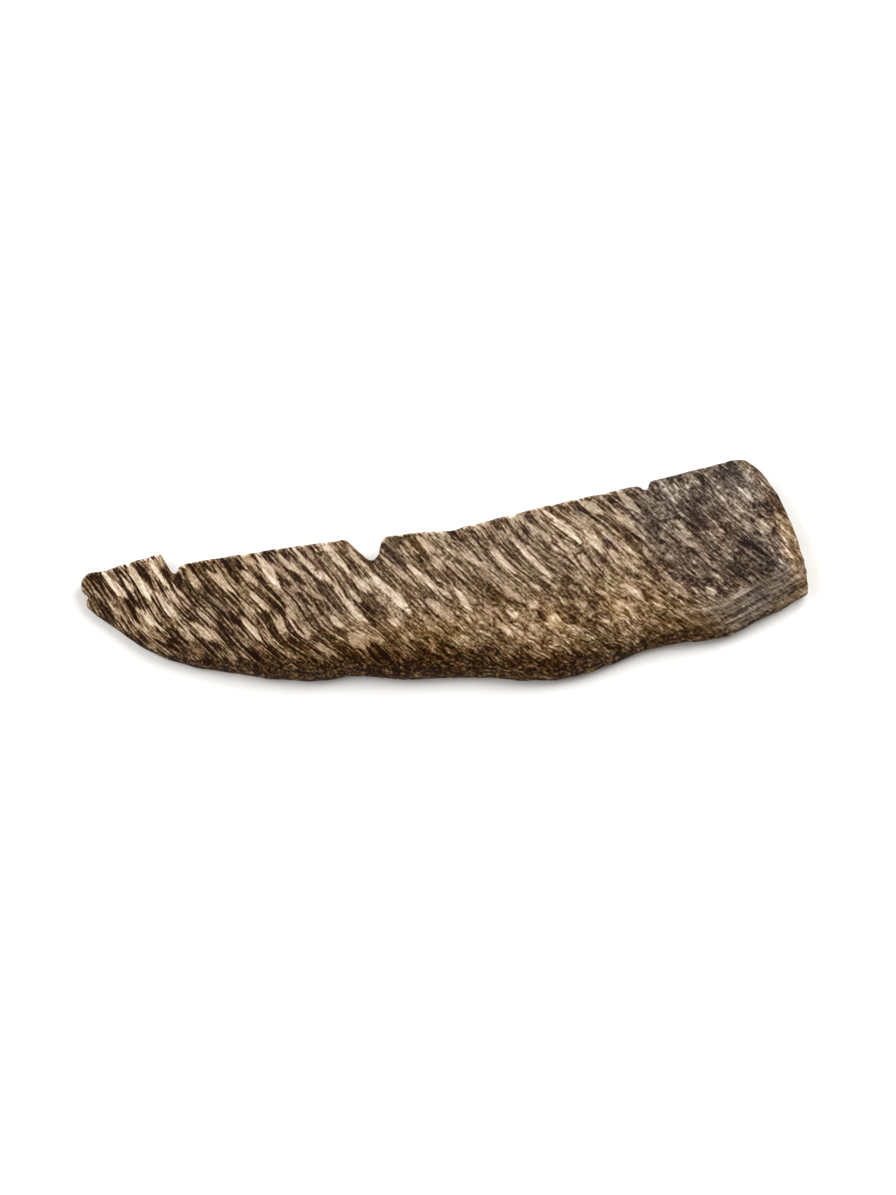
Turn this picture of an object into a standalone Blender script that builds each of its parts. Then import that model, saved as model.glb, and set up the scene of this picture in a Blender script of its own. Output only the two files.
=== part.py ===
"""A slab of agarwood, split and carved from the tree as one flat piece.

It lies on its underside. Metres, +Z up, X along the slab from its thin tip
to its broad end, Y across it. The origin is on the resting plane, in the
middle of the footprint. Sizes below are in millimetres.
"""

import math

import bmesh
import bpy
import numpy as np
from mathutils import Matrix, Vector, noise
from mathutils.geometry import interpolate_bezier

MM = 0.001

# Outline seen from above, clockwise from the thin tip. Each stretch is one
# smooth line that starts where the one before it ends, and corners lie
# between stretches. Its first word says how the slab's edge is made there.
OUTLINE = (
    ("broken", (-49.3, 11.5), (-49.2, 12.7), (-47.8, 13.5)),
    ("worn", (-43.2, 13.9), (-37.8, 14.6)),
    ("split", (-37.2, 12.7), (-36.7, 10.7)),
    ("broken", (-36.3, 10.9), (-35.6, 11.9), (-34.4, 12.3)),
    ("worn", (-24.0, 11.6), (-12.7, 11.1)),
    ("split", (-11.8, 9.9), (-9.8, 6.9)),
    ("broken", (-8.7, 7.3), (-7.9, 9.0), (-7.3, 10.2), (-6.3, 10.5), (-5.0, 10.3)),
    ("worn", (-2.0, 10.3), (1.8, 9.5), (4.3, 9.7), (12.0, 10.7), (21.0, 11.4), (28.8, 11.8)),
    ("split", (29.7, 9.6)),
    ("broken", (30.2, 12.1)),
    ("worn", (37.0, 12.8), (44.1, 13.9)),
    ("bevelled", (46.1, 11.5), (47.8, 7.0), (48.7, 1.0), (49.2, -3.2), (49.1, -6.9)),
    ("faceted", (44.6, -8.5), (37.6, -11.1)),
    ("rolled", (33.0, -11.1), (26.0, -11.1), (19.5, -12.5), (14.6, -13.3), (8.0, -12.6)),
    ("rolled", (1.0, -10.7), (-6.5, -9.7), (-14.2, -7.8), (-21.0, -7.3), (-29.3, -4.9)),
    ("rolled", (-36.4, -2.1), (-41.7, 1.1), (-45.4, 4.9), (-48.1, 7.9), (-49.3, 9.4)),
    ("split", (-48.3, 10.1)),
    ("broken", (-49.3, 11.5)),
)
STEPS_PER_POINT = 6

# Thickness at the spine, from the thin tip to the broad end.
TIP_THICKNESS = 2.5
BODY_THICKNESS = 6.7
END_THICKNESS = 5.7
TIP_RUN = (-51.0, -6.0)
END_RUN = (16.0, 50.0)

# The spine leans across the slab, and the top falls away on both sides of it.
SPINE_AT_MIDDLE = 2.6
SPINE_LEAN = -0.045
CROWN_HALF_WIDTH = 12.0
CROWN_FALL = 0.9

# How each kind of edge falls: the width of the slope and its drop, both as
# shares of the thickness there, and the power that bends it: 1 is a flat
# bevel and 2 a round one.
TOP_EDGES = {
    "worn": (0.11, 0.09, 1.0),
    "split": (0.05, 0.03, 1.0),
    "broken": (0.10, 0.06, 1.0),
    "bevelled": (0.50, 0.36, 1.3),
    "faceted": (0.52, 0.58, 1.0),
    "rolled": (0.78, 0.66, 2.0),
}
UNDER_EDGES = {
    "worn": (0.12, 0.10, 1.0),
    "split": (0.05, 0.04, 1.0),
    "broken": (0.10, 0.08, 1.0),
    "bevelled": (0.16, 0.14, 1.0),
    "faceted": (0.20, 0.12, 1.0),
    "rolled": (0.42, 0.17, 2.0),
}

# Shallow bowls worn into the top: centre x and y, radius, depth.
DIMPLES = (
    (32.6, 7.3, 3.0, 0.55),
    (38.4, 3.4, 2.6, 0.45),
    (-22.0, 8.2, 2.4, 0.30),
    (5.5, -3.5, 3.4, 0.30),
)

# A gouge hollowed the underside in a long trough with a mark for every cut,
# and left patches of the flat face around it for the slab to rest on.
HOLLOW_DEPTH = 1.7
HOLLOW_HALF_WIDTH = (4.0, 7.2)
HOLLOW_START = (-44.0, -28.0)
HOLLOW_END = (33.0, 45.0)
HOLLOW_WANDER = 2.6
CUT_SPACING = 7.5
CUT_SLANT = 0.5
CUT_DEPTH = 0.5
LIFT_SPACING = 13.0
LIFT_HEIGHT = 1.2
LIFT_LEVEL = 0.06

# The grain crosses the slab on a slant: how far a fibre runs along the slab
# for each millimetre across it. It leans more towards the broad end, by this
# share a millimetre, and bends flatter near the front.
GRAIN_SLANT = 0.60
GRAIN_FAN = 0.0045
GRAIN_BEND = 0.014

# Long low ridges along the grain, with finer ones on them.
RIDGE_SPACING = 3.3
RIDGE_LENGTH = 17.0
RIDGE_HEIGHT = 0.5
FINE_RIDGE_SHARE = 0.4
FINE_RIDGE_SPACING = 1.6
FINE_RIDGE_LENGTH = 10.0
SWELL_SPACING = 19.0
SWELL_HEIGHT = 0.45
WALL_FLUTE_SPACING = 2.4
WALL_FLUTE_DEPTH = 0.28
LEDGE_COUNT = 3
LEDGE_DEPTH = 0.24

# Each face has waves of its own, cut from another level of the same noise.
TOP_LEVEL = 0.4
UNDER_LEVEL = 11.3

# A split opens the tip into an upper and a lower layer: it narrows inwards
# and dips a little.
TIP_SPLIT_PLACE = (-48.2, 7.5, 1.25)
TIP_SPLIT_HEADING = math.radians(24)
TIP_SPLIT_DIP = math.radians(7)
TIP_SPLIT_SIZE = (4.6, 16.0)
TIP_SPLIT_MOUTH = 0.5
TIP_SPLIT_ROOT = 0.12

SHAPING_VOXEL = 0.32
DETAIL_VOXEL = 0.30
FACE_BUDGET = 9000
FLAT_SNAP = 0.06
SHARP_EDGE = math.radians(38)


def clear_scene():
    for old in list(bpy.data.objects):
        bpy.data.objects.remove(old, do_unlink=True)


def new_collection(name):
    collection = bpy.data.collections.new(name)
    bpy.context.scene.collection.children.link(collection)
    return collection


def smooth_line(points):
    """Points along the smooth line through the ones given, in order."""
    if len(points) == 2:
        return [Vector(p) for p in points]
    spots = [Vector((x, y, 0.0)) for x, y in points]
    slopes = []
    for i, spot in enumerate(spots):
        before = spots[max(i - 1, 0)]
        after = spots[min(i + 1, len(spots) - 1)]
        slopes.append((after - before) / 6.0)
    line = [spots[0]]
    for i in range(len(spots) - 1):
        arc = interpolate_bezier(
            spots[i], spots[i] + slopes[i],
            spots[i + 1] - slopes[i + 1], spots[i + 1], STEPS_PER_POINT,
        )
        line.extend(arc[1:])
    return [p.to_2d() for p in line]


def outline_stretches():
    """The outline's stretches as (kind of edge, points along it)."""
    stretches = []
    last = None
    for kind, *points in OUTLINE:
        if last is not None:
            points = [last, *points]
        stretches.append((kind, smooth_line(points)))
        last = points[-1]
    return stretches


def plate_from_outline(stretches, height):
    """A flat plate of the outline, from 0 up to the height."""
    curve = bpy.data.curves.new("outline", "CURVE")
    curve.dimensions = "2D"
    curve.fill_mode = "BOTH"
    curve.extrude = height / 2
    ring = [p for _, line in stretches for p in line[1:]]
    spline = curve.splines.new("POLY")
    spline.points.add(len(ring) - 1)
    for point, place in zip(spline.points, ring):
        point.co = (place.x, place.y, 0.0, 1.0)
    spline.use_cyclic_u = True
    outline = bpy.data.objects.new("outline", curve)
    outline.location.z = height / 2
    bpy.context.scene.collection.objects.link(outline)
    bpy.context.view_layer.update()
    plate = evaluated_mesh(outline)
    plate.transform(outline.matrix_world)
    weld(plate)
    bpy.data.objects.remove(outline)
    return plate


def evaluated_mesh(obj):
    graph = bpy.context.evaluated_depsgraph_get()
    return bpy.data.meshes.new_from_object(obj.evaluated_get(graph))


def weld(mesh):
    work = bmesh.new()
    work.from_mesh(mesh)
    bmesh.ops.remove_doubles(work, verts=work.verts, dist=0.0001)
    bmesh.ops.recalc_face_normals(work, faces=work.faces)
    work.to_mesh(mesh)
    work.free()


def with_modifier(mesh, kind, **settings):
    """The mesh as one modifier makes it."""
    holder = bpy.data.objects.new("holder", mesh)
    bpy.context.scene.collection.objects.link(holder)
    modifier = holder.modifiers.new(kind.lower(), kind)
    for name, value in settings.items():
        setattr(modifier, name, value)
    made = evaluated_mesh(holder)
    bpy.data.objects.remove(holder)
    bpy.data.meshes.remove(mesh)
    return made


def points_of(mesh):
    flat = np.empty(len(mesh.vertices) * 3)
    mesh.vertices.foreach_get("co", flat)
    return flat.reshape(-1, 3)


def normals_of(mesh):
    flat = np.empty(len(mesh.vertices) * 3)
    mesh.vertices.foreach_get("normal", flat)
    return flat.reshape(-1, 3)


def set_points(mesh, points):
    mesh.vertices.foreach_set("co", points.ravel())
    mesh.update()


def smoothstep(low, high, value):
    t = np.clip((value - low) / (high - low), 0.0, 1.0)
    return t * t * (3.0 - 2.0 * t)


def distance_to(line, x, y):
    """Distance in plan from each place to a line of points."""
    nearest = np.full(len(x), np.inf)
    for a, b in zip(line[:-1], line[1:]):
        run = b - a
        along = ((x - a.x) * run.x + (y - a.y) * run.y) / run.length_squared
        along = np.clip(along, 0.0, 1.0)
        gap = np.hypot(x - a.x - along * run.x, y - a.y - along * run.y)
        nearest = np.minimum(nearest, gap)
    return nearest


def edge_distances(stretches, x, y):
    """Distance to the nearest edge of each kind."""
    found = {}
    for kind, line in stretches:
        gap = distance_to(line, x, y)
        found[kind] = np.minimum(found[kind], gap) if kind in found else gap
    return found


def thickness_at(x):
    rise = smoothstep(*TIP_RUN, x)
    fall = smoothstep(*END_RUN, x)
    body = TIP_THICKNESS + (BODY_THICKNESS - TIP_THICKNESS) * rise
    return body + (END_THICKNESS - BODY_THICKNESS) * fall


def edge_fall(forms, distances, thickness):
    """How far the surface falls towards its edges."""
    fall = np.zeros(len(thickness))
    for kind, (width, drop, power) in forms.items():
        share = 1.0 - np.clip(distances[kind] / (width * thickness), 0.0, 1.0)
        if power == 2.0:
            shape = 1.0 - np.sqrt(1.0 - share ** 2)
        else:
            shape = share ** power
        fall = np.maximum(fall, shape * drop * thickness)
    return fall


def across_grain(x, y):
    """Place across the grain: equal all along one fibre."""
    fanned = np.log1p(GRAIN_FAN * x) / GRAIN_FAN
    slant = fanned + GRAIN_SLANT * y - GRAIN_BEND * np.minimum(y, 0.0) ** 2
    return slant / math.hypot(1.0, GRAIN_SLANT)


def along_grain(x, y):
    return (GRAIN_SLANT * x - y) / math.hypot(1.0, GRAIN_SLANT)


def noise_at(a, b, level):
    level = np.broadcast_to(level, a.shape)
    return np.array([noise.noise(Vector(p)) for p in zip(a, b, level)])


def ridges(x, y, level):
    """Ridges along the grain, about -1 to 1."""
    a, b = across_grain(x, y), along_grain(x, y)
    broad = noise_at(a / RIDGE_SPACING, b / RIDGE_LENGTH, level)
    fine = noise_at(a / FINE_RIDGE_SPACING, b / FINE_RIDGE_LENGTH, level)
    return broad + FINE_RIDGE_SHARE * fine


def swells(x, y, level):
    """Broad swells of the whole face, about -1 to 1."""
    return noise_at(x / SWELL_SPACING, y / SWELL_SPACING, level)


def bowls(x, y):
    depth = np.zeros(len(x))
    for cx, cy, radius, deep in DIMPLES:
        share = np.hypot(x - cx, y - cy) / radius
        depth += deep * (1.0 - smoothstep(0.0, 1.0, share))
    return depth


def spine_at(x):
    return SPINE_AT_MIDDLE + SPINE_LEAN * x


def hollow(x, y):
    """Depth of the carved trough along the underside."""
    along = smoothstep(*HOLLOW_START, x) * (1.0 - smoothstep(*HOLLOW_END, x))
    narrow, wide = HOLLOW_HALF_WIDTH
    half_width = narrow + (wide - narrow) * smoothstep(*TIP_RUN, x)
    wander = HOLLOW_WANDER * swells(x, y, UNDER_LEVEL)
    off_spine = (y - spine_at(x) + wander) / half_width
    across = np.clip(1.0 - off_spine ** 2, 0.0, 1.0) ** 1.5
    turn = (x - CUT_SLANT * y + wander) / CUT_SPACING
    cut = np.abs(np.sin(math.pi * turn))
    return along * across * (HOLLOW_DEPTH + CUT_DEPTH * cut)


def ledges(distance, thickness):
    """Steps where the layers of the wood come out at the front bevel."""
    share = distance / (TOP_EDGES["faceted"][0] * thickness)
    wave = np.sin(share * LEDGE_COUNT * 2 * math.pi)
    return LEDGE_DEPTH * np.where(share < 1.0, wave, 0.0)


def top_height(x, y, thickness, distances):
    share = thickness / BODY_THICKNESS
    crown = CROWN_FALL * ((y - spine_at(x)) / CROWN_HALF_WIDTH) ** 2
    relief = RIDGE_HEIGHT * ridges(x, y, TOP_LEVEL)
    relief += SWELL_HEIGHT * swells(x, y, TOP_LEVEL)
    fall = edge_fall(TOP_EDGES, distances, thickness) + bowls(x, y)
    steps = ledges(distances["faceted"], thickness)
    return thickness + (relief - crown) * share - fall + steps


def under_height(x, y, thickness, distances):
    share = thickness / BODY_THICKNESS
    rise = edge_fall(UNDER_EDGES, distances, thickness)
    deep = hollow(x, y)
    grain = ridges(x, y, UNDER_LEVEL)
    relief = RIDGE_HEIGHT * grain * smoothstep(0.0, HOLLOW_DEPTH / 3, deep)
    patch = noise_at(x / LIFT_SPACING, y / LIFT_SPACING, UNDER_LEVEL) - LIFT_LEVEL
    lift = LIFT_HEIGHT * np.maximum(patch, 0.0) * (1.0 + grain)
    return rise + np.maximum(deep + relief + lift, 0.0) * share


def shape_plate(mesh, stretches, plate_height):
    """Turn the flat plate into the slab by moving its top and underside."""
    points = points_of(mesh)
    x, y = points[:, 0], points[:, 1]
    thickness = thickness_at(x)
    distances = edge_distances(stretches, x, y)
    top = top_height(x, y, thickness, distances)
    under = under_height(x, y, thickness, distances)
    share = np.clip(points[:, 2] / plate_height, 0.0, 1.0)
    points[:, 2] = under + (top - under) * share
    set_points(mesh, points)


def flute_walls(mesh):
    """Fibres torn across leave shallow flutes down the slab's walls."""
    points = points_of(mesh)
    normals = normals_of(mesh)
    x, y, z = points.T
    wall = smoothstep(0.55, 0.9, np.hypot(normals[:, 0], normals[:, 1]))
    a, b = across_grain(x, y), along_grain(x, y)
    flute = noise_at(a / WALL_FLUTE_SPACING, b / RIDGE_LENGTH, z / RIDGE_LENGTH)
    push = WALL_FLUTE_DEPTH * flute * wall
    points[:, 0] += normals[:, 0] * push
    points[:, 1] += normals[:, 1] * push
    set_points(mesh, points)


def settle(mesh):
    """Flatten what the slab rests on and centre its footprint."""
    points = points_of(mesh)
    low, high = points.min(axis=0), points.max(axis=0)
    points[:, 0] -= (low[0] + high[0]) / 2
    points[:, 1] -= (low[1] + high[1]) / 2
    points[:, 2] = np.where(points[:, 2] < FLAT_SNAP, 0.0, points[:, 2])
    set_points(mesh, points)


def split_cutter(collection):
    """The thin wedge that opens the tip, wide at its mouth."""
    length, breadth = TIP_SPLIT_SIZE
    mesh = bpy.data.meshes.new("tip_split_cutter")
    work = bmesh.new()
    bmesh.ops.create_cube(work, size=1.0)
    for vert in work.verts:
        height = TIP_SPLIT_ROOT if vert.co.x > 0 else TIP_SPLIT_MOUTH
        vert.co *= Vector((length, breadth, height))
    work.to_mesh(mesh)
    work.free()
    heading = Matrix.Rotation(TIP_SPLIT_HEADING, 4, "Z")
    dip = Matrix.Rotation(-TIP_SPLIT_DIP, 4, "Y")
    place = Matrix.Translation(TIP_SPLIT_PLACE)
    mesh.transform(Matrix.Scale(MM, 4) @ place @ heading @ dip)
    cutter = bpy.data.objects.new("tip_split_cutter", mesh)
    cutter.hide_render = True
    cutter.display_type = "WIRE"
    collection.objects.link(cutter)
    return cutter


def agarwood_material():
    """Dry resin-rich heartwood: a dull brown with a faint resin sheen."""
    material = bpy.data.materials.new("agarwood")
    material.use_nodes = True
    shader = material.node_tree.nodes["Principled BSDF"]
    shader.inputs["Base Color"].default_value = (0.171, 0.109, 0.064, 1.0)
    shader.inputs["Roughness"].default_value = 0.62
    shader.inputs["Metallic"].default_value = 0.0
    return material


def build_slab(parts, cutters):
    stretches = outline_stretches()
    plate_height = BODY_THICKNESS
    mesh = plate_from_outline(stretches, plate_height)
    mesh = with_modifier(mesh, "REMESH", mode="VOXEL", voxel_size=SHAPING_VOXEL)
    shape_plate(mesh, stretches, plate_height)
    mesh = with_modifier(mesh, "REMESH", mode="VOXEL", voxel_size=DETAIL_VOXEL)
    flute_walls(mesh)
    mesh = with_modifier(mesh, "TRIANGULATE")
    ratio = FACE_BUDGET / len(mesh.polygons)
    mesh = with_modifier(mesh, "DECIMATE", ratio=ratio)
    settle(mesh)
    mesh.transform(Matrix.Scale(MM, 4))
    mesh.name = "agarwood_slab"
    mesh.materials.clear()
    mesh.materials.append(agarwood_material())
    mesh.shade_smooth()
    mesh.set_sharp_from_angle(angle=SHARP_EDGE)
    slab = bpy.data.objects.new("agarwood_slab", mesh)
    parts.objects.link(slab)
    cut = slab.modifiers.new("tip_split", "BOOLEAN")
    cut.object = split_cutter(cutters)
    cut.operation = "DIFFERENCE"
    cut.solver = "EXACT"
    return slab


def main():
    clear_scene()
    parts = new_collection("agarwood_piece")
    cutters = new_collection("cutters")
    build_slab(parts, cutters)


main()
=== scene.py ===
"""Agarwood slab: the finish of the wood, and the table and light it is seen in.

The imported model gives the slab's form. This file gives it its grain: fine
relief in the mesh, and streaks of pale wood and dark resin in its material.
"""
import math

import bmesh
import bpy
import numpy as np
from bpy.props import (
    FloatProperty,
    FloatVectorProperty,
    PointerProperty,
)
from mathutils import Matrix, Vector, noise


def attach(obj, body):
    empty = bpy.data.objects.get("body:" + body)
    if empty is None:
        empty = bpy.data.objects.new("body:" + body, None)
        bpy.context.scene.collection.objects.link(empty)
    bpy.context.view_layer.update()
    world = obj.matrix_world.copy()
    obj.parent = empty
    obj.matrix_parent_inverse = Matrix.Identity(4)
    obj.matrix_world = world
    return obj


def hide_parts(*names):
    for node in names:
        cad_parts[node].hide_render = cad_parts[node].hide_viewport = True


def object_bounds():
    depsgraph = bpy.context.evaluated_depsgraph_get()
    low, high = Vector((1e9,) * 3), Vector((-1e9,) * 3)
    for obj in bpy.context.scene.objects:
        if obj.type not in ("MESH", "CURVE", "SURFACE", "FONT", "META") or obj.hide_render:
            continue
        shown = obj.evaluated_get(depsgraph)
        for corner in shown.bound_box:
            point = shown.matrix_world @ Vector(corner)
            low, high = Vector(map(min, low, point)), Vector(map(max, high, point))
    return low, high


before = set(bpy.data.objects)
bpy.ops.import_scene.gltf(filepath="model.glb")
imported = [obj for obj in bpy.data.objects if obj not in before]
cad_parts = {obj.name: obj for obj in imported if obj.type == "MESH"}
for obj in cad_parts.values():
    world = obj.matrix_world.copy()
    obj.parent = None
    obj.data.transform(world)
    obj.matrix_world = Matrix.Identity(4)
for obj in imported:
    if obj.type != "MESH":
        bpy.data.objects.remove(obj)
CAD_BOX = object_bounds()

bl_info = {
    "name": "Agarwood Slab",
    "version": (1, 0, 0),
    "blender": (4, 5, 0),
    "location": "View3D > Sidebar > Agarwood",
    "description": "A slab of streaked agarwood on a plain pale table",
    "category": "Object",
}

MM = 0.001
NODE = "agarwood_slab"

# The grain crosses the slab on a slant: how far a fibre runs along the slab
# for each millimetre across it. It leans more towards the broad end, by this
# share a millimetre, and bends flatter near the front.
GRAIN_SLANT = 0.60
GRAIN_FAN = 0.0045
GRAIN_BEND = 0.014

# Places where the grain swings from that: x, y and reach in millimetres, and
# how much more it slants there.
GRAIN_BENDS = (
    (-36.0, 8.5, 5.0, -0.24),
    (-23.0, -0.5, 3.6, -0.30),
    (-42.0, -0.5, 5.0, 0.40),
    (-14.0, -4.0, 4.0, 0.35),
    (8.0, 7.0, 4.0, -0.17),
    (11.0, -1.0, 4.5, 0.25),
    (21.0, 6.5, 5.0, 0.28),
)

# Streaks run on down the slab's edges on a slant: how far they run towards the
# front for each millimetre down.
EDGE_SLANT = 0.40

# The outline is read this often along the slab, in millimetres.
OUTLINE_STEP = 0.5

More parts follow.
